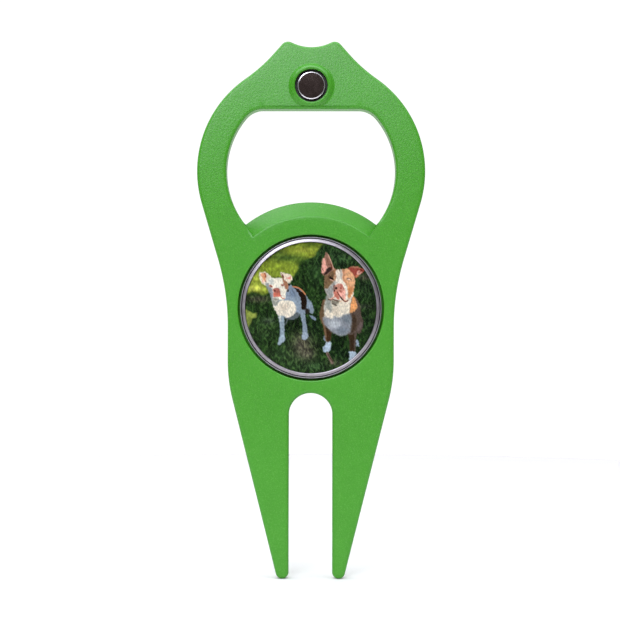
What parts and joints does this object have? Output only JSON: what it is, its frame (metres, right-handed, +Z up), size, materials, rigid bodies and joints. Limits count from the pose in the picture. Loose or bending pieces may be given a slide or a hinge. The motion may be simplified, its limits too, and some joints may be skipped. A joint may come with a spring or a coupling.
{
  "type": "golf divot repair tool",
  "caption": "Two-pronged golf divot repair tool with a bottle opener window in its ring head, a lift-out magnetic ball marker, a cap magnet in a raised collar and a notched club rest.",
  "frame": {"origin": "midway between the two prong tips, at their lowest point, in the middle plane of the body's thickness", "axes": "+Z up from the prong tips to the crown, -Y out of the front face that shows the ball marker, +X to the right of the front"},
  "size_m": [0.0404, 0.005, 0.0953],
  "materials": {
    "body": "matte",
    "magnet": "satin",
    "black_glue": "satin",
    "clear_glue": "satin",
    "marker_steel": "satin",
    "print": "satin",
    "clear_cover": "gloss"
  },
  "bodies": {
    "tool": {"tool_body": "body", "cap_magnet": "magnet", "cap_magnet_glue": "black_glue", "marker_magnet": "magnet", "marker_magnet_glue": "clear_glue"},
    "marker": {"marker_base": "marker_steel", "print_adhesive": "clear_glue", "print_disc": "print", "clear_dome": "clear_cover"}
  },
  "joints": [
    {"name": "marker_lift", "type": "slide", "parent": "tool", "child": "marker", "axis": [0, -1, 0], "range_m": [0, 0.015]}
  ]
}
